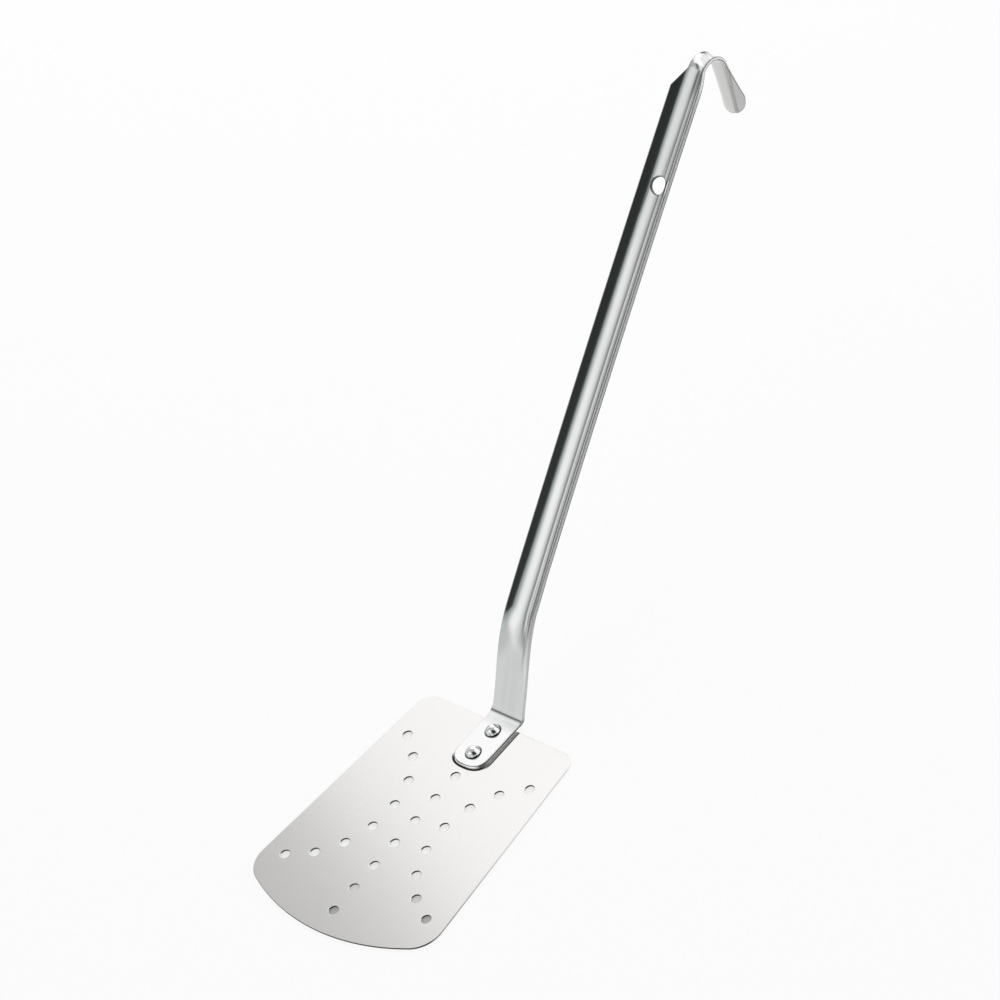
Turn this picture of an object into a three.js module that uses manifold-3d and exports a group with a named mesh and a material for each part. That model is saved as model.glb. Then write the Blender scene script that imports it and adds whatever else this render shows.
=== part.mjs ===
// Perforated steel turner: a flat blade, a handle pressed from one steel strip, and two rivets.
// Millimetres, +Z up. The blade's underside lies on z = 0 with its middle at the origin,
// its front edge towards -Y, and the handle rises towards +Y.
import * as THREE from "three";
import { mergeVertices } from "three/addons/utils/BufferGeometryUtils.js";
import Module from "manifold-3d";

const wasm = await Module();
wasm.setup();
const rad = THREE.MathUtils.degToRad;

// Blade sheet and its outline
const BLADE_LENGTH = 138.1;
const BLADE_REAR_WIDTH = 97.1;
const BLADE_FLARE = 5.2;
const BLADE_THICKNESS = 1;
const FRONT_RADIUS = 116;
const FRONT_CORNER_RADIUS = 15;
const REAR_CORNER_RADIUS = 9;

// Drain holes: one row on the centre line, and on each side an arc that bows towards it
const DRAIN_DIAMETER = 5;
const DRAIN_PITCH = 15;
const ROW_SETBACK = 35;
const ROW_FRONT_MARGIN = 13;
const ARC_COUNT = 8;
const ARC_RADIUS = 46.2;
const ARC_INSET = 16.2;
const ARC_OFFSET = 3.25;
const ARC_TURN = 4.3;

// Handle strip: tongue on the blade, heel bend, flat neck, shoulder bend, gutter shaft
const STRIP_WIDTH = 19.5;
const STRIP_THICKNESS = 1.6;
const TONGUE_LAP = 28.3;
const TIP_LENGTH = 8;
const TIP_FULLNESS = 2.5;
const HEEL_OVERHANG = 2.3;
const HEEL_RADIUS = 5;
const HEEL_BULGE = 0.4;
const NECK_LENGTH = 14.8;
const NECK_ANGLE = 56.3;
const SHOULDER_RADIUS = 114;
const SHAFT_LENGTH = 255.4;
const SHAFT_ANGLE = 38.9;
const SHAFT_BOW = 1.65;
const GUTTER_RADIUS = 10.9;
const GUTTER_START = 10.4;
const GUTTER_FADE = 48;
const HANG_HOLE_DIAMETER = 8.6;
const HANG_HOLE_SETBACK = 46.4;

// Hook at the top of the strip: trimmed to a waist, bent over backwards, flared to a round tip
const TRIM_LENGTH = 10.1;
const WAIST_WIDTH = 9.3;
const HOOK_RADIUS = 8.5;
const HOOK_LEAN = 97;
const HOOK_LEG = 19.3;
const HOOK_WIDTH = 16;
const HOOK_TIP_LENGTH = 9.7;
const HOOK_GUTTER_RADIUS = 7.9;
const HOOK_FLATTENING = 0.23;

// Rivets: domed heads on the tongue, tails set flush in the blade's underside
const RIVET_SHANK_DIAMETER = 4;
const RIVET_HEAD_DIAMETER = 7.5;
const RIVET_HEAD_HEIGHT = 3.4;
const RIVET_SETBACK = 7.8;
const RIVET_PITCH = 14.7;
const RIVET_TAIL_DIAMETER = 5.4;
const RIVET_TAIL_DEPTH = 0.7;
const RIVET_CLEARANCE = 0.3;

// Facets along curves, and how far a cutter runs past the faces that it cuts
const HOLE_SIDES = 24;
const ARC_STEPS = 12;
const STRIP_COLUMNS = 14;
const TIP_STEPS = 12;
const HEEL_STEPS = 9;
const FLAT_STEPS = 2;
const NECK_STEPS = 4;
const SHOULDER_STEPS = 12;
const SHAFT_STEPS = 12;
const TRIM_STEPS = 4;
const HOOK_STEPS = 18;
const LEG_STEPS = 8;
const HOOK_TIP_STEPS = 6;
const DOME_STEPS = 8;
const CUT_OVERRUN = 1;

// Places shared by the pieces
const rearEdge = BLADE_LENGTH / 2;
const frontEdge = -BLADE_LENGTH / 2;
const tongueTop = BLADE_THICKNESS + STRIP_THICKNESS;
const stripHalf = STRIP_WIDTH / 2;
const tongueTip = rearEdge - TONGUE_LAP;
const rivetPlaces = [tongueTip + RIVET_SETBACK, tongueTip + RIVET_SETBACK + RIVET_PITCH];
const rivetHoleRadius = RIVET_SHANK_DIAMETER / 2 + RIVET_CLEARANCE;

// A closed geometry as a solid that can be cut.
function solidOf(geometry) {
  geometry.deleteAttribute("normal");
  geometry.deleteAttribute("uv");
  const merged = mergeVertices(geometry, 1e-4);
  const vertProperties = merged.attributes.position.array;
  const triVerts = new Uint32Array(merged.index.array);
  return new wasm.Manifold(new wasm.Mesh({ numProp: 3, vertProperties, triVerts }));
}

// A cut solid as a geometry again.
function geometryOf(solid) {
  const { vertProperties, triVerts } = solid.getMesh();
  const geometry = new THREE.BufferGeometry();
  geometry.setAttribute("position", new THREE.BufferAttribute(vertProperties, 3));
  geometry.setIndex(new THREE.BufferAttribute(triVerts, 1));
  geometry.computeVertexNormals();
  return geometry;
}

// An upright round cutter, wider at its foot where the two radii differ.
function roundCutter(topRadius, footRadius, foot, top) {
  const cutter = new THREE.CylinderGeometry(topRadius, footRadius, top - foot, HOLE_SIDES);
  cutter.rotateX(Math.PI / 2);
  cutter.translate(0, 0, (foot + top) / 2);
  return cutter;
}

// The blade's outline, clockwise from the right end of its rear edge.
function bladeOutline() {
  const flare = rad(BLADE_FLARE);
  const along = new THREE.Vector2(Math.sin(flare), -Math.cos(flare));
  const inward = new THREE.Vector2(-Math.cos(flare), -Math.sin(flare));
  const rearCorner = new THREE.Vector2(BLADE_REAR_WIDTH / 2, rearEdge);

  // Rear corner: its arc touches the rear edge and the flared side.
  const rearReach = REAR_CORNER_RADIUS * Math.tan((Math.PI / 2 - flare) / 2);
  const rearCentre = rearCorner.clone().addScaledVector(along, rearReach);
  rearCentre.addScaledVector(inward, REAR_CORNER_RADIUS);

  // Front corner: its arc touches the side, and the front edge's arc from inside.
  const frontCentre = new THREE.Vector2(0, frontEdge + FRONT_RADIUS);
  const inset = rearCorner.clone().addScaledVector(inward, FRONT_CORNER_RADIUS).sub(frontCentre);
  const reach = FRONT_RADIUS - FRONT_CORNER_RADIUS;
  const drift = inset.dot(along);
  const travel = Math.sqrt(drift ** 2 - inset.lengthSq() + reach ** 2) - drift;
  const cornerCentre = inset.addScaledVector(along, travel);
  const frontAngle = cornerCentre.angle() - 2 * Math.PI;
  cornerCentre.add(frontCentre);

  const outline = new THREE.Shape();
  const { x: cornerX, y: cornerY } = cornerCentre;
  const mirrorFront = -Math.PI - frontAngle;
  const mirrorFlare = -Math.PI - flare;
  outline.moveTo(rearCentre.x, rearEdge);
  outline.absarc(rearCentre.x, rearCentre.y, REAR_CORNER_RADIUS, Math.PI / 2, flare, true);
  outline.absarc(cornerX, cornerY, FRONT_CORNER_RADIUS, flare, frontAngle, true);
  outline.absarc(0, frontCentre.y, FRONT_RADIUS, frontAngle, mirrorFront, true);
  outline.absarc(-cornerX, cornerY, FRONT_CORNER_RADIUS, mirrorFront, mirrorFlare, true);
  outline.absarc(-rearCentre.x, rearCentre.y, REAR_CORNER_RADIUS, Math.PI - flare, Math.PI / 2, true);
  outline.closePath();
  return outline;
}

// Centres of the drain holes. The row has as many as fit in front of the tongue, and the arcs lie about
// the blade's middle.
function drainCentres() {
  const centres = [];
  const rowEnd = frontEdge + ROW_FRONT_MARGIN;
  for (let y = rearEdge - ROW_SETBACK; y >= rowEnd; y -= DRAIN_PITCH) {
    centres.push(new THREE.Vector2(0, y));
  }
  const step = 2 * Math.asin(DRAIN_PITCH / (2 * ARC_RADIUS));
  for (let i = 0; i < ARC_COUNT; i++) {
    const angle = ((ARC_COUNT - 1) / 2 - i) * step - rad(ARC_TURN);
    const x = ARC_INSET + ARC_RADIUS * (1 - Math.cos(angle));
    const y = ARC_OFFSET + ARC_RADIUS * Math.sin(angle);
    centres.push(new THREE.Vector2(x, y), new THREE.Vector2(-x, y));
  }
  return centres;
}

// Blade: a flat sheet, pierced by the drain holes and by the two countersunk rivet holes.
function bladeGeometry() {
  const outline = bladeOutline();
  for (const centre of drainCentres()) {
    const hole = new THREE.Path();
    hole.absarc(centre.x, centre.y, DRAIN_DIAMETER / 2, 0, 2 * Math.PI, false);
    outline.holes.push(hole);
  }
  const options = { depth: BLADE_THICKNESS, bevelEnabled: false, curveSegments: ARC_STEPS };
  let blade = solidOf(new THREE.ExtrudeGeometry(outline, options));
  const tailRadius = RIVET_TAIL_DIAMETER / 2 + RIVET_CLEARANCE;
  const spread = (tailRadius - rivetHoleRadius) / RIVET_TAIL_DEPTH;
  const footRadius = tailRadius + spread * RIVET_CLEARANCE;
  for (const y of rivetPlaces) {
    const bore = roundCutter(rivetHoleRadius, rivetHoleRadius, -CUT_OVERRUN, BLADE_THICKNESS + CUT_OVERRUN);
    const sink = roundCutter(rivetHoleRadius, footRadius, -RIVET_CLEARANCE, RIVET_TAIL_DEPTH);
    bore.translate(0, y, 0);
    sink.translate(0, y, 0);
    blade = blade.subtract(solidOf(bore)).subtract(solidOf(sink));
  }
  return geometryOf(blade);
}

// Eased rise from 0 to 1.
function ease(value) {
  const t = THREE.MathUtils.clamp(value, 0, 1);
  return t * t * (3 - 2 * t);
}

// One step round a tip: how near it is to the tip's end, and how near to its full width.
function tipPoint(step, steps) {
  const angle = ((step + 0.5) / steps) * (Math.PI / 2);
  const power = 2 / TIP_FULLNESS;
  return { inward: Math.cos(angle) ** power, outward: Math.sin(angle) ** power };
}

// Stations along the strip's front face, from the tongue's tip to the hook's tip. Each has its place,
// its lean above level, its half width and the cross curve that turns its edges up into a gutter.
function stripStations() {
  const stations = [];
  const pen = { y: tongueTip, z: tongueTop, lean: 0, run: 0 };
  function advance(length, turn) {
    const chord = turn === 0 ? length : (2 * length * Math.sin(turn / 2)) / turn;
    pen.y += chord * Math.cos(pen.lean + turn / 2);
    pen.z += chord * Math.sin(pen.lean + turn / 2);
    pen.lean += turn;
    pen.run += length;
  }
  function draw(length, turn, steps, shape) {
    for (let i = 1; i <= steps; i++) {
      advance(length / steps, turn / steps);
      stations.push({ ...pen, ...shape(i / steps) });
    }
  }
  const flat = () => ({ half: stripHalf, curve: 0 });

  // Round tongue tip, a little fuller at its corners than a half circle.
  for (let i = 0; i < TIP_STEPS; i++) {
    const { inward, outward } = tipPoint(i, TIP_STEPS);
    advance(TIP_LENGTH * (1 - inward) - pen.run, 0);
    stations.push({ ...pen, half: stripHalf * outward, curve: 0 });
  }

  // Tongue and heel. The bend squeezes the strip's edges out a little.
  const neckLean = rad(NECK_ANGLE);
  draw(TONGUE_LAP + HEEL_OVERHANG - pen.run, 0, FLAT_STEPS, flat);
  const squeezed = (t) => ({ half: stripHalf + HEEL_BULGE * Math.sin(Math.PI * t), curve: 0 });
  draw(HEEL_RADIUS * neckLean, neckLean, HEEL_STEPS, squeezed);

  // Neck and shoulder, where the gutter rises out of the flat strip.
  const heelEnd = pen.run;
  const rising = () => {
    const rise = ease((pen.run - heelEnd - GUTTER_START) / GUTTER_FADE);
    return { half: stripHalf, curve: rise / GUTTER_RADIUS };
  };
  const shoulderTurn = rad(SHAFT_ANGLE - NECK_ANGLE);
  draw(NECK_LENGTH, 0, NECK_STEPS, rising);
  draw(Math.abs(shoulderTurn) * SHOULDER_RADIUS, shoulderTurn, SHOULDER_STEPS, rising);

  // Shaft, very slightly bowed back.
  draw(SHAFT_LENGTH, -rad(SHAFT_BOW), SHAFT_STEPS, rising);
  const trimStart = { ...pen };

  // Waist: the gutter's edges are cut away, and the rest is bent over, which flattens it a little.
  const waistHalf = WAIST_WIDTH / 2;
  const trim = (t) => ({ half: stripHalf + (waistHalf - stripHalf) * t, curve: 1 / GUTTER_RADIUS });
  draw(TRIM_LENGTH, 0, TRIM_STEPS, trim);
  const hookTurn = -rad(HOOK_LEAN) - pen.lean;
  const bent = (t) => ({
    half: waistHalf,
    curve: (1 - HOOK_FLATTENING * Math.sin(Math.PI * t)) / GUTTER_RADIUS,
  });
  draw(Math.abs(hookTurn) * HOOK_RADIUS, hookTurn, HOOK_STEPS, bent);

  // Leg of the hook, flared and dished deeper, with a round tip.
  const hookHalf = HOOK_WIDTH / 2;
  const legCurve = (t) => THREE.MathUtils.lerp(1 / GUTTER_RADIUS, 1 / HOOK_GUTTER_RADIUS, t);
  const flared = (t) => ({ half: waistHalf + (hookHalf - waistHalf) * t, curve: legCurve(t) });
  draw(HOOK_LEG, 0, LEG_STEPS, flared);
  const legEnd = pen.run;
  for (let i = HOOK_TIP_STEPS - 1; i >= 0; i--) {
    const { inward, outward } = tipPoint(i, HOOK_TIP_STEPS);
    advance(legEnd + HOOK_TIP_LENGTH * inward - pen.run, 0);
    stations.push({ ...pen, half: hookHalf * outward, curve: legCurve(1) });
  }
  return { stations, trimStart };
}

// A strip of even thickness lofted through its stations.
function loftStrip(stations) {
  const row = STRIP_COLUMNS + 1;
  const front = [];
  const back = [];
  for (const { y, z, lean, half, curve } of stations) {
    for (let i = 0; i < row; i++) {
      const across = half * ((2 * i) / STRIP_COLUMNS - 1);
      const swing = across * curve;
      const side = curve === 0 ? across : Math.sin(swing) / curve;
      const rise = curve === 0 ? 0 : (1 - Math.cos(swing)) / curve;
      const place = (x, lift) => [x, y - lift * Math.sin(lean), z + lift * Math.cos(lean)];
      front.push(place(side, rise));
      back.push(place(side + STRIP_THICKNESS * Math.sin(swing), rise - STRIP_THICKNESS * Math.cos(swing)));
    }
  }
  const positions = [...front, ...back].flat();
  const index = [];
  const quad = (a, b, c, d) => index.push(a, b, c, a, c, d);
  const under = front.length;
  const last = (stations.length - 1) * row;
  for (let s = 0; s < last; s += row) {
    for (let i = 0; i < STRIP_COLUMNS; i++) {
      const a = s + i;
      quad(a, a + 1, a + 1 + row, a + row);
      quad(under + a, under + a + row, under + a + 1 + row, under + a + 1);
    }
    const right = s + STRIP_COLUMNS;
    quad(s, s + row, under + s + row, under + s);
    quad(right, under + right, under + right + row, right + row);
  }
  for (let i = 0; i < STRIP_COLUMNS; i++) {
    quad(i, under + i, under + i + 1, i + 1);
    quad(last + i, last + i + 1, under + last + i + 1, under + last + i);
  }
  const geometry = new THREE.BufferGeometry();
  geometry.setAttribute("position", new THREE.Float32BufferAttribute(positions, 3));
  geometry.setIndex(index);
  return geometry;
}

// Handle: the lofted strip, pierced by the two rivet holes and by the hanging hole in the shaft.
function handleGeometry() {
  const { stations, trimStart } = stripStations();
  let handle = solidOf(loftStrip(stations));
  for (const y of rivetPlaces) {
    const foot = BLADE_THICKNESS - CUT_OVERRUN;
    const bore = roundCutter(rivetHoleRadius, rivetHoleRadius, foot, tongueTop + CUT_OVERRUN);
    bore.translate(0, y, 0);
    handle = handle.subtract(solidOf(bore));
  }
  const hangRadius = HANG_HOLE_DIAMETER / 2;
  const hang = roundCutter(hangRadius, hangRadius, -GUTTER_RADIUS, GUTTER_RADIUS);
  hang.rotateX(trimStart.lean);
  const y = trimStart.y - HANG_HOLE_SETBACK * Math.cos(trimStart.lean);
  const z = trimStart.z - HANG_HOLE_SETBACK * Math.sin(trimStart.lean);
  hang.translate(0, y, z);
  return geometryOf(handle.subtract(solidOf(hang)));
}

// Rivet: a tail spread flush into the blade, a shank, and a domed head seated on the tongue.
function rivetGeometry() {
  const headRadius = RIVET_HEAD_DIAMETER / 2;
  const shankRadius = RIVET_SHANK_DIAMETER / 2;
  const domeRadius = (headRadius ** 2 + RIVET_HEAD_HEIGHT ** 2) / (2 * RIVET_HEAD_HEIGHT);
  const domeCentre = tongueTop + RIVET_HEAD_HEIGHT - domeRadius;
  const profile = [
    new THREE.Vector2(0, 0),
    new THREE.Vector2(RIVET_TAIL_DIAMETER / 2, 0),
    new THREE.Vector2(shankRadius, RIVET_TAIL_DEPTH),
    new THREE.Vector2(shankRadius, tongueTop),
    new THREE.Vector2(headRadius, tongueTop),
  ];
  const rim = Math.atan2(tongueTop - domeCentre, headRadius);
  for (let i = 1; i < DOME_STEPS; i++) {
    const angle = rim + (i / DOME_STEPS) * (Math.PI / 2 - rim);
    const x = domeRadius * Math.cos(angle);
    profile.push(new THREE.Vector2(x, domeCentre + domeRadius * Math.sin(angle)));
  }
  profile.push(new THREE.Vector2(0, tongueTop + RIVET_HEAD_HEIGHT));
  const rivet = new THREE.LatheGeometry(profile, HOLE_SIDES);
  rivet.rotateX(Math.PI / 2);
  return rivet;
}

const polished = new THREE.MeshStandardMaterial({ color: 0xd9d8d5, roughness: 0.18, metalness: 1 });
const satin = new THREE.MeshStandardMaterial({ color: 0xc4c5c5, roughness: 0.3, metalness: 1 });
const bright = new THREE.MeshStandardMaterial({ color: 0xdedede, roughness: 0.12, metalness: 1 });

const turner = new THREE.Group();

const blade = new THREE.Mesh(bladeGeometry(), polished);
blade.name = "blade";
turner.add(blade);

const handle = new THREE.Mesh(handleGeometry(), satin);
handle.name = "handle";
turner.add(handle);

for (const [i, name] of ["front_rivet", "rear_rivet"].entries()) {
  const rivet = new THREE.Mesh(rivetGeometry(), bright);
  rivet.name = name;
  rivet.position.y = rivetPlaces[i];
  turner.add(rivet);
}

export default turner;
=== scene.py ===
import math

import bpy
from mathutils import Matrix, Vector


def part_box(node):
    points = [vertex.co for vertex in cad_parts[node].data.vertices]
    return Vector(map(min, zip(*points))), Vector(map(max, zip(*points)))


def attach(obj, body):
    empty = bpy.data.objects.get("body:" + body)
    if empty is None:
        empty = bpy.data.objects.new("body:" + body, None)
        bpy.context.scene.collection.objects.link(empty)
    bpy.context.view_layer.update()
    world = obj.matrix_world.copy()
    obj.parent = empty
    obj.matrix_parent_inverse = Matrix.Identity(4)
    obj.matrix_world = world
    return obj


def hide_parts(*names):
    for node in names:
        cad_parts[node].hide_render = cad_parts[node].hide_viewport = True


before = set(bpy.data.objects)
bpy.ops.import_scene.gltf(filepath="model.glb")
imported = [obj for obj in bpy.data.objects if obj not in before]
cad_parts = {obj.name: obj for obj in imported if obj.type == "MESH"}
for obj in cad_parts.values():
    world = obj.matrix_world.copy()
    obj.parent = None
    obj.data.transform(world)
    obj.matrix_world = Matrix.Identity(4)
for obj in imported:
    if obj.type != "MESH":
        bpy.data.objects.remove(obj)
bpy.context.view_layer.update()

# The blade: one flat sheet of stainless steel, blanked to a flared outline with a bowed front and pierced
# with drain holes. Blanking and tumbling roll its rims over, and the sheet is polished on both faces.
BLADE_RIM = 0.00028
RIM_STEPS = 4
MERGE_DISTANCE = 1e-6
UPWARD = 0.9
SMOOTH_ANGLE = math.radians(40)


def fresh_copy(node, name):
    """A copy of a CAD node's mesh as an object of its own, with its loose triangles merged."""
    bpy.ops.object.select_all(action="DESELECT")
    piece = bpy.data.objects.new(name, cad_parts[node].data.copy())
    bpy.context.scene.collection.objects.link(piece)
    bpy.context.view_layer.objects.active = piece
    piece.select_set(True)
    bpy.ops.object.mode_set(mode="EDIT")
    bpy.ops.mesh.select_all(action="SELECT")
    bpy.ops.mesh.remove_doubles(threshold=MERGE_DISTANCE)
    bpy.ops.mesh.customdata_custom_splitnormals_clear()
    bpy.ops.mesh.select_all(action="DESELECT")
    bpy.ops.object.mode_set(mode="OBJECT")
    return piece


def level_faces(piece):
    """Smooths a piece's rounded rims and keeps its flat faces flat."""
    bpy.ops.object.shade_smooth_by_angle(angle=SMOOTH_ANGLE)
    levelling = piece.modifiers.new("level faces", "WEIGHTED_NORMAL")
    levelling.keep_sharp = True
    bpy.ops.object.modifier_apply(modifier=levelling.name)


blade = fresh_copy("blade", "pierced_blade")
blade_low, blade_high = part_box("blade")
blade_thickness = blade_high.z - blade_low.z
for face in blade.data.polygons:
    face.select = face.normal.z > UPWARD
bpy.context.tool_settings.mesh_select_mode = (False, False, True)
bpy.ops.object.mode_set(mode="EDIT")
bpy.ops.mesh.region_to_loop()
bpy.ops.mesh.select_all(action="INVERT")
bpy.ops.mesh.delete(type="EDGE")
bpy.ops.object.mode_set(mode="OBJECT")
bpy.ops.object.convert(target="CURVE")
blade.data.dimensions = "2D"
blade.data.fill_mode = "BOTH"
blade.data.extrude = blade_thickness / 2 - BLADE_RIM
blade.data.bevel_depth = BLADE_RIM
blade.data.bevel_resolution = RIM_STEPS
blade.data.offset = -BLADE_RIM
bpy.ops.object.convert(target="MESH")
blade = bpy.context.object
bpy.ops.object.mode_set(mode="EDIT")
bpy.ops.mesh.select_all(action="SELECT")
bpy.ops.mesh.remove_doubles(threshold=MERGE_DISTANCE)
bpy.ops.transform.translate(value=(0, 0, blade_thickness / 2))
bpy.ops.mesh.normals_make_consistent(inside=False)
bpy.ops.object.mode_set(mode="OBJECT")
level_faces(blade)


class Wire:
    """One output socket. Sums on wires add Math nodes to the tree that the socket is in."""

    def __init__(self, tree, socket):
        self.tree = tree
        self.socket = socket

    def maths(self, operation, first, second):
        return self.tree.node("ShaderNodeMath", {"operation": operation}, {0: first, 1: second})

    def __add__(self, other):
        return self.maths("ADD", self, other)

    def __radd__(self, other):
        return self.maths("ADD", other, self)

    def __sub__(self, other):
        return self.maths("SUBTRACT", self, other)

    def __rsub__(self, other):
        return self.maths("SUBTRACT", other, self)

    def __mul__(self, other):
        return self.maths("MULTIPLY", self, other)

    def __rmul__(self, other):
        return self.maths("MULTIPLY", other, self)

    def __pow__(self, exponent):
        return self.maths("POWER", self, exponent)

    def __abs__(self):
        return self.maths("ABSOLUTE", self, 0.0)


class Finish:
    """The node tree of a material or of the world, with one method that adds any node."""

    def __init__(self, owner):
        owner.use_nodes = True
        self.tree = owner.node_tree
        self.tree.nodes.clear()

    def node(self, kind, settings, sockets, output=0):
        added = self.tree.nodes.new(kind)
        for name, value in settings.items():
            if name == "stops":
                self.set_stops(added.color_ramp, value)
            else:
                setattr(added, name, value)
        for name, value in sockets.items():
            if isinstance(value, Wire):
                self.tree.links.new(value.socket, added.inputs[name])
            else:
                added.inputs[name].default_value = value
        return Wire(self, added.outputs[output]) if added.outputs else None

    def set_stops(self, ramp, stops):
        ramp.elements.remove(ramp.elements[1])
        ramp.elements[0].position = stops[0][0]
        ramp.elements[0].color = (stops[0][1],) * 3 + (1,)
        for position, level in stops[1:]:
            ramp.elements.new(position).color = (level,) * 3 + (1,)

    def place(self):
        return self.node("ShaderNodeTexCoord", {}, {}, "Object")

    def axis(self, vector, name):
        return self.node("ShaderNodeSeparateXYZ", {}, {"Vector": vector}, name)

    def normal(self):
        return self.node("ShaderNodeNewGeometry", {}, {}, "Normal")

    def distance(self, place, centre):
        settings = {"operation": "DISTANCE"}
        return self.node("ShaderNodeVectorMath", settings, {0: place, 1: centre}, "Value")

    def blend(self, factor, first, second):
        """A mix of two colours, which are sockets 6 and 7 of a Mix node and its output 2."""
        settings = {"data_type": "RGBA"}
        return self.node("ShaderNodeMix", settings, {0: factor, 6: first, 7: second}, 2)

    def fade(self, value, start, end, low, high):
        """Goes smoothly from low to high while the value goes from start to end."""
        sockets = {"Value": value, "From Min": start, "From Max": end, "To Min": low, "To Max": high}
        return self.node("ShaderNodeMapRange", {"interpolation_type": "SMOOTHSTEP"}, sockets)

    def noise(self, place, scale, stretch, detail):
        stretched = self.node("ShaderNodeMapping", {}, {"Vector": place, "Scale": stretch})
        sockets = {"Vector": stretched, "Scale": scale, "Detail": detail}
        return self.node("ShaderNodeTexNoise", {}, sockets)

    def steel(self, sockets):
        """Puts the shader of a steel on, and joins it to the output."""
        surface = self.node("ShaderNodeBsdfPrincipled", {}, sockets)
        self.node("ShaderNodeOutputMaterial", {}, {"Surface": surface})


# The blade's finish. Each noise here is a scale, a stretch along X, Y and Z, and a detail. Each fade is a
# start and an end, with its value at both. Lengths are in metres.
BLADE_COLOUR = (0.77, 0.762, 0.752, 1)
SMUDGED_BLADE_COLOUR = (0.7, 0.69, 0.68, 1)
BLADE_SMUDGES = (22.0, (1, 1, 1), 4.0)
BLADE_GRAIN = (900.0, (1, 0.05, 1), 3.0)
SMUDGE_STRENGTH = 0.1
BLADE_ROUGHNESS = 0.18
SMUDGE_ROUGHNESS = 0.02
GRAIN_ROUGHNESS = 0.02
GRAIN_RELIEF = {"Strength": 0.02, "Distance": 0.00002}
SHEARED_AND_SHADED_COLOUR = (0.06, 0.06, 0.06, 1)
SHEARED_ROUGHNESS = 0.2
SHEARED_BELOW = 0.8
ROLLED_TO = (-0.025, 0.0, 0.995, 0.97)
REAR_RIM = (0.05, 0.3, 1.0, 0.0)
BLADE_FLARE = 0.091
RIGHT_RIM = (0.053, 0.054, 0.0, 1.0)
RIGHT_RIM_LIGHT = (-0.06, 0.03, 0.3, 0.88)
TONGUE_HALF_WIDTH = 0.00975
TONGUE_TIP_LENGTH = 0.008
TONGUE_TIP_START = 0.04875
TONGUE_FULLNESS = 2.5
SEAM_SHADE_COLOUR = (0.015, 0.015, 0.015, 1)
TIP_SHARE = (0.3, 0.8, 0.0, 1.0)
TIP_SEAM_START = (0.0002, 0.0004, 0.0, 1.0)
TIP_SEAM_END = (0.0014, 0.0018, 1.0, 0.0)
SIDE_SHARE = (0.0, 0.006, 0.0, 0.95)
SIDE_SEAM_MIDDLE = 0.0018
SIDE_SEAM = (0.00024, 0.0008, 1.0, 0.0)

polished_steel = bpy.data.materials.new("polished_steel")
finish = Finish(polished_steel)
place = finish.place()
x = finish.axis(place, "X")
y = finish.axis(place, "Y")
aside = abs(x) * (1 / TONGUE_HALF_WIDTH)
ahead = (TONGUE_TIP_START - y) * (1 / TONGUE_TIP_LENGTH)
ahead = finish.node("ShaderNodeMath", {"operation": "MAXIMUM"}, {0: ahead, 1: 0.0})
reach = (aside ** TONGUE_FULLNESS + ahead ** TONGUE_FULLNESS) ** (1 / TONGUE_FULLNESS)
from_tongue = TONGUE_HALF_WIDTH * (reach - 1.0)
# Painted shade and reflection on the blade round the tongue: a dark line just off its tip for the gap under
# it, and a dark band beside its sides for their reflection.
at_tip = finish.fade(ahead, *TIP_SHARE)
at_side = finish.fade(x, *SIDE_SHARE) * (1.0 - at_tip)
tip_seam_shade = at_tip * finish.fade(from_tongue, *TIP_SEAM_START) * finish.fade(from_tongue, *TIP_SEAM_END)
side_seam_shade = at_side * finish.fade(abs(from_tongue - SIDE_SEAM_MIDDLE), *SIDE_SEAM)
smudge = finish.noise(place, *BLADE_SMUDGES)
grain = finish.noise(place, *BLADE_GRAIN)
normal = finish.normal()
flatness = abs(finish.axis(normal, "Z"))
# Painted shade on the rims: they are dark as sheared steel, and darker still for a contact shadow and the
# reflection of the shaded floor. The dark reaches further round the rolled rims on the left and spares the
# rims that face the rear.
rolled_to = finish.fade(x, *ROLLED_TO)
sheared_and_shaded = finish.fade(flatness, SHEARED_BELOW, rolled_to, 1.0, 0.0)
sheared_and_shaded = sheared_and_shaded * finish.fade(finish.axis(normal, "Y"), *REAR_RIM)
# Painted light on the right rim, most towards the rear, where the rim's painted shade is lifted.
lit_right_rim = finish.fade(x + BLADE_FLARE * y, *RIGHT_RIM) * finish.fade(y, *RIGHT_RIM_LIGHT)
sheared_and_shaded = sheared_and_shaded * (1.0 - lit_right_rim)
colour = finish.blend(SMUDGE_STRENGTH * smudge, BLADE_COLOUR, SMUDGED_BLADE_COLOUR)
colour = finish.blend(sheared_and_shaded, colour, SHEARED_AND_SHADED_COLOUR)
colour = finish.blend(tip_seam_shade + side_seam_shade, colour, SEAM_SHADE_COLOUR)
roughness = BLADE_ROUGHNESS + SMUDGE_ROUGHNESS * smudge + GRAIN_ROUGHNESS * grain
roughness = roughness + SHEARED_ROUGHNESS * sheared_and_shaded
relief = finish.node("ShaderNodeBump", {}, {**GRAIN_RELIEF, "Height": grain})
finish.steel({"Base Color": colour, "Metallic": 1.0, "Roughness": roughness, "Normal": relief})
blade.data.materials.clear()
blade.data.materials.append(polished_steel)
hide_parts("blade")
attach(blade, "root")

# The handle: one strip of stainless steel, cut to shape and bent. Its flat tongue lies on the blade, its neck
# rises from a tight heel and rolls into a long gutter, and its trimmed end is bent over into a hook.
STRIP_EDGE = 0.0003
EDGE_STEPS = 4
SHARP_ANGLE = math.radians(50)
BEND_ANGLE = math.radians(30)
FLAT_ANGLE = math.radians(0.5)
QUAD_FACE_ANGLE = math.radians(20)
QUAD_SHAPE_ANGLE = math.radians(70)
LEVEL = 0.999
LEG_FRONT = 0.32
LEG_MIDDLE = 0.19
LEG_END_MERGE = 0.0004
TONGUE_TOP = 0.0026
LAP_TOP = 0.0027
CUT_SLOT = 1
EASED_SLOT = 2

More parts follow.
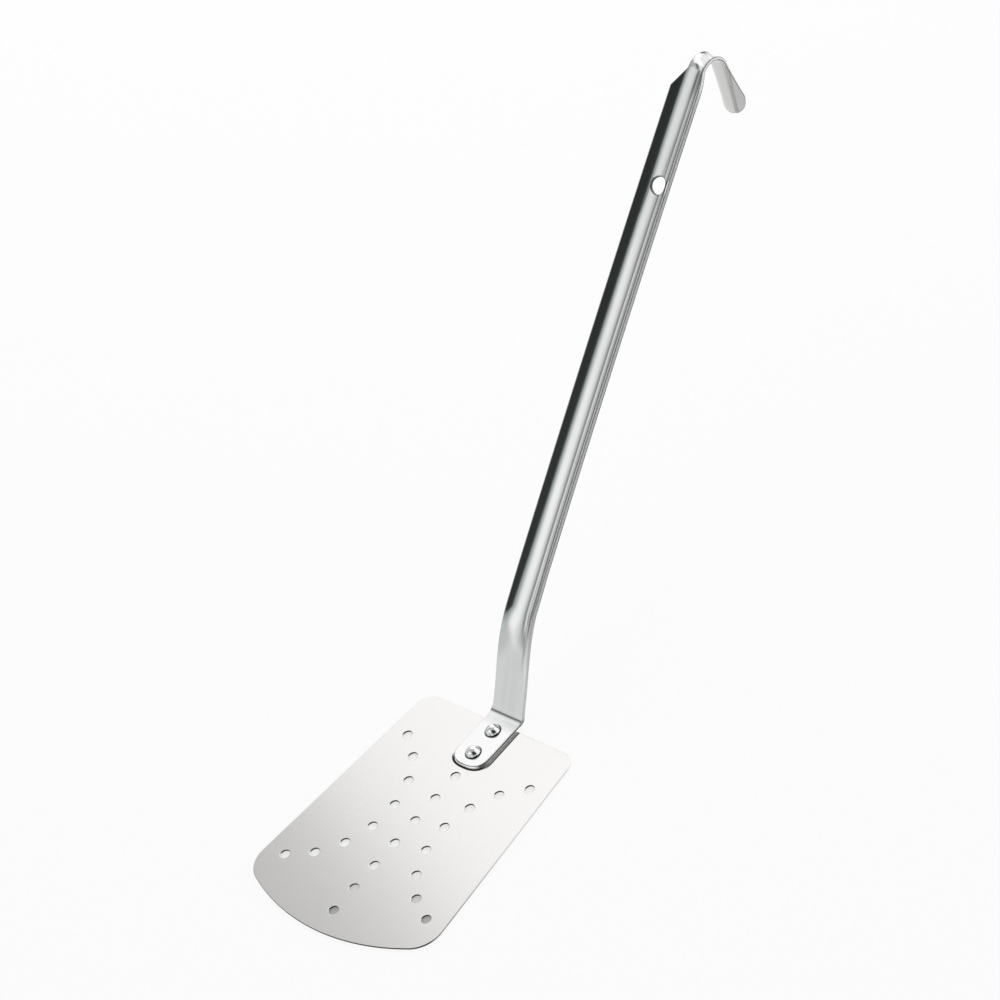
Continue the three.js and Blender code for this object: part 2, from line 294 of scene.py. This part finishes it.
handle = fresh_copy("handle", "strip_handle")
bpy.context.tool_settings.mesh_select_mode = (True, False, False)
for corner in handle.data.vertices:
    corner.select = corner.co.y > LEG_FRONT and corner.co.z < LEG_MIDDLE
bpy.ops.object.mode_set(mode="EDIT")
bpy.ops.mesh.remove_doubles(threshold=LEG_END_MERGE)
bpy.ops.mesh.select_all(action="SELECT")
bpy.ops.mesh.tris_convert_to_quads(face_threshold=QUAD_FACE_ANGLE, shape_threshold=QUAD_SHAPE_ANGLE)
bpy.ops.object.mode_set(mode="OBJECT")
satin_steel = bpy.data.materials.new("satin_steel")
cut_steel = bpy.data.materials.new("cut_steel")
eased_steel = bpy.data.materials.new("eased_steel")
handle.data.materials.clear()
handle.data.materials.append(satin_steel)
handle.data.materials.append(cut_steel)
handle.data.materials.append(eased_steel)
bpy.context.tool_settings.mesh_select_mode = (False, False, True)
for face in handle.data.polygons:
    face.select = abs(face.normal.z) > LEVEL and face.center.z < LAP_TOP
bpy.ops.object.mode_set(mode="EDIT")
bpy.ops.mesh.dissolve_limited(angle_limit=FLAT_ANGLE)
bpy.ops.mesh.faces_select_linked_flat(sharpness=BEND_ANGLE)
bpy.ops.mesh.select_all(action="INVERT")
handle.active_material_index = CUT_SLOT
bpy.ops.object.material_slot_assign()
bpy.ops.object.mode_set(mode="OBJECT")
rounding = handle.modifiers.new("eased edges", "BEVEL")
rounding.width = STRIP_EDGE
rounding.segments = EDGE_STEPS
rounding.limit_method = "ANGLE"
rounding.angle_limit = SHARP_ANGLE
rounding.use_clamp_overlap = False
rounding.material = EASED_SLOT
bpy.ops.object.modifier_apply(modifier=rounding.name)
level_faces(handle)

# The strip's broad faces are satin polished along their length. A dark line and a matt flank run in the
# gutter;
# the line, and grey at the root of the hook's crown, are painted dark reflections, and the heel's crease has
# painted shade. The hook's leg is painted darker as a painted reflection, and its crown has a painted dark
# left rim. Painted shade rings the rivets, and the hanging hole has a dark ring.
HANDLE_COLOUR = (0.75, 0.76, 0.76, 1)
SMUDGED_HANDLE_COLOUR = (0.65, 0.66, 0.66, 1)
WASHED_COLOUR = (0.6, 0.61, 0.61, 1)
TONGUE_COLOUR = (0.795, 0.797, 0.795, 1)
HEEL_SHADE_COLOUR = (0.45, 0.455, 0.455, 1)
DARK_REFLECTION_COLOUR = (0.2, 0.205, 0.21, 1)
LEG_DARK_REFLECTION_COLOUR = (0.6, 0.6, 0.59, 1)
LEG_FLANK_DARK_REFLECTION_COLOUR = (0.5, 0.5, 0.495, 1)
EASED_COLOUR = (0.12, 0.12, 0.122, 1)
RIVET_SHADE_COLOUR = (0.03, 0.03, 0.03, 1)
HANDLE_SMUDGES = (60.0, (1, 1, 1), 4.0)
HANDLE_STREAKS = (900.0, (1, 0.02, 0.02), 3.0)
HANDLE_WAVES = (70.0, (1.5, 1, 1), 2.0)
HANDLE_WASH = (160.0, (1, 0.1, 0.1), 2.0)
HANDLE_SMUDGE_STRENGTH = 0.3
WASH_STRENGTH = (0.35, 0.75, 0.0, 0.4)
HANDLE_ROUGHNESS = 0.06
HANDLE_SMUDGE_ROUGHNESS = 0.04
STREAK_ROUGHNESS = 0.05
STREAK_RELIEF = {"Strength": 0.4, "Distance": 0.00001}
WAVE_RELIEF = {"Strength": 0.5, "Distance": 0.00005}
TONGUE_REAR = (0.064, 0.071, 1.0, 0.0)
HEEL_START = (0.0635, 0.0705, 0.0, 1.0)
HEEL_END = (0.0705, 0.0735, 1.0, 0.0)
HEEL_SHADE_STRENGTH = (-0.009, 0.008, 0.15, 0.5)
GUTTER_START = (0.085, 0.096, 0.0, 1.0)
GUTTER_REFLECTION_PLACE = (0.095, 0.14, 0.0068, 0.0051)
GUTTER_REFLECTION_START = (-0.0025, -0.00018, 0.0, 0.7)
GUTTER_REFLECTION_END = (0.00027, 0.0009, 1.0, 0.0)
MATT_START = (0.00045, 0.0009, 0.0, 1.0)
MATT_METALLIC = 0.15
ROOT_START = (0.303, 0.311, 0.0, 0.55)
ROOT_END = (0.3145, 0.3165, 1.0, 0.0)
ROOT_SIDE = (0.0005, 0.0015, 0.0, 1.0)
LEG_START = (0.3235, 0.3255, 0.0, 1.0)
LEG_FLANK = (0.0022, 0.0032, 0.0, 1.0)
LEG_HALF_WIDTH = 0.00793
LEG_WIDEST = 0.178
LEG_FLARE = 0.131
HOOK_RIM = (0.0006, 0.001, 1.0, 0.0)
HOOK_RIM_FOOT = (0.173, 0.177, 0.0, 1.0)
HOLE_CENTRE = (0, 0.2716, 0.1714)
HOLE_RADIUS = 0.0043
HOLE_RING = (HOLE_RADIUS, 1.25 * HOLE_RADIUS, 0.7, 0.0)
RIVET_NODES = ("front_rivet", "rear_rivet")
RIVET_SHADE_RING = (0.0041, 0.0044, 0.9, 0.0)

finish = Finish(satin_steel)
place = finish.place()
side = finish.axis(place, "X")
rear = finish.axis(place, "Y")
height = finish.axis(place, "Z")
smudge = finish.noise(place, *HANDLE_SMUDGES)
streak = finish.noise(place, *HANDLE_STREAKS)
wave = finish.noise(place, *HANDLE_WAVES)
wash = finish.noise(place, *HANDLE_WASH)
colour = finish.blend(HANDLE_SMUDGE_STRENGTH * smudge, HANDLE_COLOUR, SMUDGED_HANDLE_COLOUR)
colour = finish.blend(finish.fade(wash, *WASH_STRENGTH), colour, WASHED_COLOUR)
colour = finish.blend(finish.fade(rear, *TONGUE_REAR), colour, TONGUE_COLOUR)
# Painted shade along the heel's crease, stronger on the right.
heel = finish.fade(rear, *HEEL_START) * finish.fade(rear, *HEEL_END)
colour = finish.blend(heel * finish.fade(side, *HEEL_SHADE_STRENGTH), colour, HEEL_SHADE_COLOUR)
leg = finish.fade(rear, *LEG_START)
gutter = finish.fade(rear, *GUTTER_START) * (1.0 - leg)
# A painted dark reflection: a dark line along the gutter, with a matt flank beyond it.
past_line = side - finish.fade(rear, *GUTTER_REFLECTION_PLACE)
gutter_reflection = gutter * finish.fade(past_line, *GUTTER_REFLECTION_START) * finish.fade(past_line, *GUTTER_REFLECTION_END)
colour = finish.blend(gutter_reflection, colour, DARK_REFLECTION_COLOUR)
matt = gutter * finish.fade(past_line, *MATT_START)
metallic = 1.0 - (1.0 - MATT_METALLIC) * matt
# Painted dark reflection on the right of the root of the hook's crown.
root = finish.fade(rear, *ROOT_START) * finish.fade(rear, *ROOT_END)
colour = finish.blend(root * finish.fade(side, *ROOT_SIDE), colour, DARK_REFLECTION_COLOUR)
# The hook's leg is painted darker, and its right flank darker still, as painted dark reflections.
colour = finish.blend(leg, colour, LEG_DARK_REFLECTION_COLOUR)
colour = finish.blend(leg * finish.fade(side, *LEG_FLANK), colour, LEG_FLANK_DARK_REFLECTION_COLOUR)
# A painted dark reflection along the leg's left rim, above its foot.
from_hook_rim = side + (LEG_HALF_WIDTH - LEG_FLARE * (height - LEG_WIDEST))
hook_rim = leg * finish.fade(from_hook_rim, *HOOK_RIM) * finish.fade(height, *HOOK_RIM_FOOT)
colour = finish.blend(hook_rim, colour, EASED_COLOUR)
hole_ring = finish.fade(finish.distance(place, HOLE_CENTRE), *HOLE_RING)
colour = finish.blend(hole_ring, colour, EASED_COLOUR)
# Painted shade on the tongue in a ring round each rivet's head.
for node in RIVET_NODES:
    low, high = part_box(node)
    centre = (0, (low.y + high.y) / 2, TONGUE_TOP)
    rivet_shade = finish.fade(finish.distance(place, centre), *RIVET_SHADE_RING)
    colour = finish.blend(rivet_shade, colour, RIVET_SHADE_COLOUR)
roughness = HANDLE_ROUGHNESS + HANDLE_SMUDGE_ROUGHNESS * smudge + STREAK_ROUGHNESS * streak
relief = finish.node("ShaderNodeBump", {}, {**STREAK_RELIEF, "Height": streak})
relief = finish.node("ShaderNodeBump", {}, {**WAVE_RELIEF, "Height": wave, "Normal": relief})
finish.steel({"Base Color": colour, "Metallic": metallic, "Roughness": roughness, "Normal": relief})

# The strip's cut faces are torn and matt. They are bright round the hook and painted dark along the tongue's
# sides as a painted reflection, and the tongue's tip is filed to a bright face that leans upwards.
CUT_COLOUR = (0.8, 0.8, 0.805, 1)
TORN_COLOUR = (0.66, 0.66, 0.665, 1)
BRIGHT_CUT_COLOUR = (0.95, 0.95, 0.95, 1)
LAPPED_DARK_REFLECTION_COLOUR = (0.26, 0.26, 0.26, 1)
CUT_TEARS = (1800.0, (1, 0.1, 0.1), 3.0)
CUT_RELIEF = {"Strength": 0.3, "Distance": 0.00002}
CUT_METALLIC = 0.1
CUT_ROUGHNESS = 0.65
FILED_ROUGHNESS = 0.25
FILED_LEAN = 1.4
HOOK_START = (0.298, 0.307, 0.0, 1.0)
LAP_END = (LAP_TOP, 0.0035, 1.0, 0.0)
FILED_SIDES = (0.0072, 0.0084, 1.0, 0.0)
HOLE_WALL = (1.1 * HOLE_RADIUS, 1.2 * HOLE_RADIUS, 1.0, 0.0)

finish = Finish(cut_steel)
place = finish.place()
tear = finish.noise(place, *CUT_TEARS)
colour = finish.blend(tear, CUT_COLOUR, TORN_COLOUR)
colour = finish.blend(finish.fade(finish.axis(place, "Y"), *HOOK_START), colour, BRIGHT_CUT_COLOUR)
lapped = finish.fade(finish.axis(place, "Z"), *LAP_END)
across_tip = finish.fade(abs(finish.axis(place, "X")), *FILED_SIDES)
tongue_edge = finish.blend(across_tip, LAPPED_DARK_REFLECTION_COLOUR, BRIGHT_CUT_COLOUR)
colour = finish.blend(lapped, colour, tongue_edge)
hole_wall = finish.fade(finish.distance(place, HOLE_CENTRE), *HOLE_WALL)
colour = finish.blend(hole_wall, colour, EASED_COLOUR)
filed = lapped * across_tip
metallic = CUT_METALLIC + (1.0 - CUT_METALLIC) * filed
roughness = CUT_ROUGHNESS - (CUT_ROUGHNESS - FILED_ROUGHNESS) * filed
lean = finish.node("ShaderNodeCombineXYZ", {}, {"Z": FILED_LEAN * filed}, "Vector")
leaning = finish.node("ShaderNodeVectorMath", {"operation": "ADD"}, {0: finish.normal(), 1: lean}, "Vector")
leaning = finish.node("ShaderNodeVectorMath", {"operation": "NORMALIZE"}, {0: leaning}, "Vector")
relief = finish.node("ShaderNodeBump", {}, {**CUT_RELIEF, "Height": tear, "Normal": leaning})
finish.steel({"Base Color": colour, "Metallic": metallic, "Roughness": roughness, "Normal": relief})

# The strip's eased edges are dark and scuffed. They are rubbed bright along the neck, and along the tongue's
# foot where it lies on the blade.
SCUFFED_COLOUR = (0.2, 0.2, 0.203, 1)
RUBBED_COLOUR = (0.72, 0.72, 0.723, 1)
EDGE_SCUFFS = (500.0, (1, 1, 1), 3.0)
EASED_ROUGHNESS = 0.3
RUBBED_START = (0.044, 0.054, 0.0, 0.9)
RUBBED_END = (0.092, 0.115, 1.0, 0.0)
LAP_FOOT = (0.0017, LAP_TOP, 1.0, 0.0)

finish = Finish(eased_steel)
place = finish.place()
rear = finish.axis(place, "Y")
colour = finish.blend(finish.noise(place, *EDGE_SCUFFS), EASED_COLOUR, SCUFFED_COLOUR)
rubbed = finish.fade(rear, *RUBBED_START) * finish.fade(rear, *RUBBED_END)
rubbed = rubbed + finish.fade(finish.axis(place, "Z"), *LAP_FOOT)
colour = finish.blend(rubbed, colour, RUBBED_COLOUR)
finish.steel({"Base Color": colour, "Metallic": 1.0, "Roughness": EASED_ROUGHNESS})
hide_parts("handle")
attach(handle, "root")

# The rivets: two turned steel pins through the tongue and the blade. Each has a high domed head on the tongue
# and a tail that is hammered into the blade's countersink and ground flush.
RIVET_TURNS = 64
DOME_STEPS = 18
SHANK_RADIUS = 0.002
TAIL_RADIUS = 0.0027
TAIL_DEPTH = 0.0007
RIVET_COLOUR = (0.86, 0.86, 0.855, 1)
SMUDGED_RIVET_COLOUR = (0.7, 0.7, 0.695, 1)
RIVET_SMUDGES = (400.0, (1, 1, 1), 3.0)
RIVET_SMUDGE_STRENGTH = 0.2
RIVET_ROUGHNESS = 0.04
RIVET_SMUDGE_ROUGHNESS = 0.06
SEAT_SHADE_COLOUR = (0.03, 0.03, 0.03, 1)
SEAT_START = TONGUE_TOP + 0.00035
SEAT_TOP = (-0.0027, -0.0015, TONGUE_TOP + 0.0018, TONGUE_TOP + 0.0007)

bright_steel = bpy.data.materials.new("bright_steel")
finish = Finish(bright_steel)
place = finish.place()
smudge = finish.noise(place, *RIVET_SMUDGES)
# Painted shade on the foot of each dome where it meets the tongue, reaching higher on the left.
seat_top = finish.fade(finish.axis(place, "X"), *SEAT_TOP)
seat_shade = finish.fade(finish.axis(place, "Z"), SEAT_START, seat_top, 1.0, 0.0)
colour = finish.blend(RIVET_SMUDGE_STRENGTH * smudge, RIVET_COLOUR, SMUDGED_RIVET_COLOUR)
colour = finish.blend(seat_shade, colour, SEAT_SHADE_COLOUR)
roughness = RIVET_ROUGHNESS + RIVET_SMUDGE_ROUGHNESS * smudge
finish.steel({"Base Color": colour, "Metallic": 1.0, "Roughness": roughness})

rivet_low, rivet_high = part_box("front_rivet")
head_radius = (rivet_high.x - rivet_low.x) / 2
head_height = rivet_high.z - TONGUE_TOP
dome_radius = (head_radius ** 2 + head_height ** 2) / (2 * head_height)
dome_centre = rivet_high.z - dome_radius
rim_angle = math.asin(min(1, head_radius / dome_radius))
profile = []
for step in range(DOME_STEPS + 1):
    angle = rim_angle * step / DOME_STEPS
    profile.append((dome_radius * math.sin(angle), 0, dome_centre + dome_radius * math.cos(angle)))
profile.append((SHANK_RADIUS, 0, TONGUE_TOP))
profile.append((SHANK_RADIUS, 0, rivet_low.z + TAIL_DEPTH))
profile.append((TAIL_RADIUS, 0, rivet_low.z))
profile.append((0, 0, rivet_low.z))
bpy.context.tool_settings.mesh_select_mode = (True, False, False)
bpy.ops.object.select_all(action="DESELECT")
bpy.ops.mesh.primitive_plane_add(size=head_radius)
turned = bpy.context.object
turned.name = "turned_rivet"
bpy.ops.object.mode_set(mode="EDIT")
bpy.ops.mesh.select_all(action="SELECT")
bpy.ops.mesh.merge(type="CENTER")
bpy.ops.transform.translate(value=profile[0])
for start, end in zip(profile, profile[1:]):
    onward = Vector(end) - Vector(start)
    bpy.ops.mesh.extrude_vertices_move(TRANSFORM_OT_translate={"value": onward})
bpy.ops.mesh.select_all(action="SELECT")
bpy.ops.mesh.spin(steps=RIVET_TURNS, angle=2 * math.pi, center=(0, 0, 0), axis=(0, 0, 1))
bpy.ops.mesh.select_all(action="SELECT")
bpy.ops.mesh.remove_doubles(threshold=MERGE_DISTANCE)
bpy.ops.mesh.normals_make_consistent(inside=False)
bpy.ops.object.mode_set(mode="OBJECT")
bpy.ops.object.shade_smooth_by_angle(angle=SMOOTH_ANGLE)
turned.data.materials.append(bright_steel)
for node in RIVET_NODES:
    low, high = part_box(node)
    rivet = bpy.data.objects.new("domed_" + node, turned.data.copy())
    rivet.data.transform(Matrix.Translation((0, (low.y + high.y) / 2, 0)))
    bpy.context.scene.collection.objects.link(rivet)
    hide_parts(node)
    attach(rivet, "root")
bpy.data.objects.remove(turned)

# The floor: a wide pale sheet under the blade. It glows white to the eye and in reflections, keeps a faint
# shadow of the turner, and has a painted shadow under the blade, deepest under its front, as the drain holes
# show.
FLOOR_SIZE = 12.0
FLOOR_DROP = 0.0005
FLOOR_COLOUR = (0.98, 0.98, 0.98, 1)
FLOOR_GLOW = 0.88
UNDER_BLADE_SHADE = 0.25
UNDER_FRONT_SHADOW_COLOUR = (0.3, 0.3, 0.3, 1)
FRONT_CENTRE = (0, 0.047, 0)
UNDER_SIDES = (0.046, 0.053, 1.0, 0.0)
UNDER_REAR = (0.058, 0.066, 1.0, 0.0)
UNDER_FRONT = (0.106, 0.113, 1.0, 0.0)
DEEP_SLANT = 0.3
DEEP_SHADE = (0.016, 0.07, 0.0, 0.85)

bpy.ops.object.select_all(action="DESELECT")
bpy.ops.mesh.primitive_plane_add(size=FLOOR_SIZE, location=(0, 0, -FLOOR_DROP))
floor = bpy.context.object
floor.name = "floor"
pale_floor = bpy.data.materials.new("pale_floor")
finish = Finish(pale_floor)
place = finish.place()
x = finish.axis(place, "X")
y = finish.axis(place, "Y")
under_blade = finish.fade(abs(x) + BLADE_FLARE * y, *UNDER_SIDES) * finish.fade(y, *UNDER_REAR)
under_blade = under_blade * finish.fade(finish.distance(place, FRONT_CENTRE), *UNDER_FRONT)
camera_ray = finish.node("ShaderNodeLightPath", {}, {}, "Is Camera Ray")
glossy_ray = finish.node("ShaderNodeLightPath", {}, {}, "Is Glossy Ray")
transmission_ray = finish.node("ShaderNodeLightPath", {}, {}, "Is Transmission Ray")
glow_share = FLOOR_GLOW * (1.0 - UNDER_BLADE_SHADE * under_blade)
seen = glow_share * (camera_ray + glossy_ray + transmission_ray)
matte = finish.node("ShaderNodeBsdfDiffuse", {}, {"Color": FLOOR_COLOUR}, "BSDF")
glow = finish.node("ShaderNodeEmission", {}, {"Color": (1, 1, 1, 1), "Strength": 1.0}, "Emission")
surface = finish.node("ShaderNodeMixShader", {}, {0: seen, 1: matte, 2: glow}, "Shader")
deep_shadow = under_blade * finish.fade(DEEP_SLANT * x - y, *DEEP_SHADE)
painted_shadow = finish.node("ShaderNodeBsdfDiffuse", {}, {"Color": UNDER_FRONT_SHADOW_COLOUR}, "BSDF")
surface = finish.node("ShaderNodeMixShader", {}, {0: deep_shadow, 1: surface, 2: painted_shadow}, "Shader")
finish.node("ShaderNodeOutputMaterial", {}, {"Surface": surface})
floor.data.materials.append(pale_floor)

# The room: pale all round, with a dark corner by the camera that the gutter's left flank mirrors, and with
# pale and grey bands on the left that the rest of the gutter mirrors. Each stop of a band is a place across
# the room and a level.
DARK_SIDE = Vector((0.714, -0.53, 0.457))
HANDLE_LINE = Vector((0, 0.777, 0.629))
GAP_SIDE = Vector((-0.592, 0.793, -0.146))
LOWEST = -0.4
DARK_STOPS = ((0.62, 1.0), (0.7, 0.93), (0.75, 0.8), (0.8, 0.62), (0.85, 0.44), (0.89, 0.36), (0.92, 0.08),
              (0.935, 0.035))
LOWER_BANDS = ((0.0, 1.12), (0.063, 1.03), (0.121, 0.92), (0.182, 0.76), (0.248, 0.56), (0.3, 0.3),
               (0.33, 0.3), (0.389, 0.62), (0.44, 1.05), (0.462, 1.05), (0.51, 0.55), (0.58, 0.32),
               (0.75, 0.25))
UPPER_BANDS = ((0.0, 0.98), (0.112, 0.7), (0.238, 0.48), (0.28, 0.16), (0.33, 0.22), (0.374, 0.32),
               (0.43, 0.65), (0.516, 1.1), (0.58, 1.1), (0.63, 0.76), (0.68, 0.48), (0.72, 0.45))
BAND_DRIFT = (-0.14, 0.04, 0.02, -0.15)
BAND_LEVEL = (-0.1, -0.05, 1.0, 0.86)
SHOULDER_LEVEL = (0.0, 0.45, 0.95, 0.4)
SHOULDER_SHARE = (-0.3, -0.2, 1.0, 0.0)
UPPER_SHARE = (0.0, 0.15, 0.0, 1.0)
ROOM_LEVEL = (-0.12, -0.02, 1.2, 0.98)
REAR_RISE = (0.1, 0.35, 0.0, 0.2)
OVERHEAD_DROP = (0.8, 0.92, 0.0, 0.62)
FRONT_LEVEL = (-0.5, -0.15, 0.83, 0.69)
FRONT_HEIGHT = (-0.42, -0.3, 1.0, 0.0)
FRONT_SIDE = (0.1, 0.4, 1.0, 0.0)
LEFT_SIDE = (-0.5, -0.25, 1.0, 0.0)
LEFT_HEIGHT = (-0.42, -0.3, 0.0, 1.0)
DARK_DRIFT = (-0.19, 0.03, -0.05, 0.087)
DARK_TINT = (0.89, 1.08, 1.0, 1)
PLAIN_TINT = (1, 1, 1, 1)

room = bpy.data.worlds.new("soft_room")
bpy.context.scene.world = room
finish = Finish(room)
heading = finish.node("ShaderNodeTexCoord", {}, {}, "Generated")


def facing(direction):
    """How far a ray into the room goes along a direction: 1 where it goes straight along it."""
    sockets = {0: heading, 1: direction}
    return finish.node("ShaderNodeVectorMath", {"operation": "DOT_PRODUCT"}, sockets, "Value")


sideways = facing(Vector((1, 0, 0)))
upward = facing(Vector((0, 0, 1)))
along = facing(HANDLE_LINE)
lift = (facing(GAP_SIDE) - LOWEST) * (1 / (1 - LOWEST))
drifted = lift + finish.fade(along, *BAND_DRIFT)
bands = finish.node("ShaderNodeValToRGB", {"stops": LOWER_BANDS}, {"Fac": drifted})
bands = bands * finish.fade(along, *BAND_LEVEL)
shoulder = finish.fade(lift, *SHOULDER_LEVEL)
bands = bands + finish.fade(along, *SHOULDER_SHARE) * (shoulder - bands)
upper_bands = finish.node("ShaderNodeValToRGB", {"stops": UPPER_BANDS}, {"Fac": lift})
bands = bands + finish.fade(along, *UPPER_SHARE) * (upper_bands - bands)
level = finish.fade(along, *ROOM_LEVEL) + finish.fade(along, *REAR_RISE)
level = level - finish.fade(upward, *OVERHEAD_DROP)
front = finish.fade(along, *FRONT_HEIGHT) * finish.fade(sideways, *FRONT_SIDE)
level = level + front * (finish.fade(sideways, *FRONT_LEVEL) - level)
on_left = finish.fade(sideways, *LEFT_SIDE) * finish.fade(along, *LEFT_HEIGHT)
level = level + on_left * (bands - level)
towards_dark = facing(DARK_SIDE) + finish.fade(along, *DARK_DRIFT)
shade = finish.node("ShaderNodeValToRGB", {"stops": DARK_STOPS}, {"Fac": towards_dark})
tint = finish.blend(shade, DARK_TINT, PLAIN_TINT)
glow = finish.node("ShaderNodeBackground", {}, {"Color": tint, "Strength": level * shade})
finish.node("ShaderNodeOutputWorld", {}, {"Surface": glow})

# The lamp: one big soft diffuser over the far left. The blade mirrors it, and its near edge makes the blade's
# tone fall off towards the front.
DIFFUSER_LEVEL = 0.7
DIFFUSER_DISTANCE = 0.98
DIFFUSER_WIDTH = 1.25
DIFFUSER_DEPTH = 0.95
FAR_LEFT = Vector((-0.63, 0.387, 0.673)).normalized()
FADE_POINT = Vector((0, -0.063, 0))
FADE_LINE = Vector((0.94, -0.35, 0))
diffuser = bpy.data.lights.new("diffuser", "AREA")
diffuser.shape = "RECTANGLE"
diffuser.size = DIFFUSER_WIDTH
diffuser.size_y = DIFFUSER_DEPTH
diffuser.energy = DIFFUSER_LEVEL * math.pi * diffuser.size * diffuser.size_y
diffuser_stand = bpy.data.objects.new("diffuser", diffuser)
across = (FADE_LINE - FADE_LINE.dot(FAR_LEFT) * FAR_LEFT).normalized()
rearward = FAR_LEFT.cross(across)
middle = FADE_POINT + FAR_LEFT * DIFFUSER_DISTANCE + rearward * diffuser.size_y / 2
turn = Matrix((across, rearward, FAR_LEFT)).transposed().to_4x4()
diffuser_stand.matrix_world = Matrix.Translation(middle) @ turn
diffuser_stand.visible_camera = False
bpy.context.scene.collection.objects.link(diffuser_stand)

# The camera: a long lens, far off to the right of the blade's front and above it, with its right side dipped
# so that the handle rises to the upper right.
CAMERA_AIM = Vector((0, 0.12031, 0.10641))
CAMERA_AZIMUTH = math.radians(58.515)
CAMERA_ELEVATION = math.radians(42.353)
CAMERA_ROLL = math.radians(-24.946)
CAMERA_DISTANCE = 4.17266
CAMERA_LENS = 324
lens = bpy.data.cameras.new("camera")
lens.lens = CAMERA_LENS
camera = bpy.data.objects.new("camera", lens)
bpy.context.scene.collection.objects.link(camera)
back = Vector((
    math.sin(CAMERA_AZIMUTH) * math.cos(CAMERA_ELEVATION),
    -math.cos(CAMERA_AZIMUTH) * math.cos(CAMERA_ELEVATION),
    math.sin(CAMERA_ELEVATION),
))
upright = (-back).to_track_quat("-Z", "Y").to_matrix().to_4x4()
camera.matrix_world = (
    Matrix.Translation(CAMERA_AIM + back * CAMERA_DISTANCE)
    @ upright
    @ Matrix.Rotation(CAMERA_ROLL, 4, "Z")
)
bpy.context.scene.camera = camera
bpy.context.scene.view_settings.view_transform = "Standard"
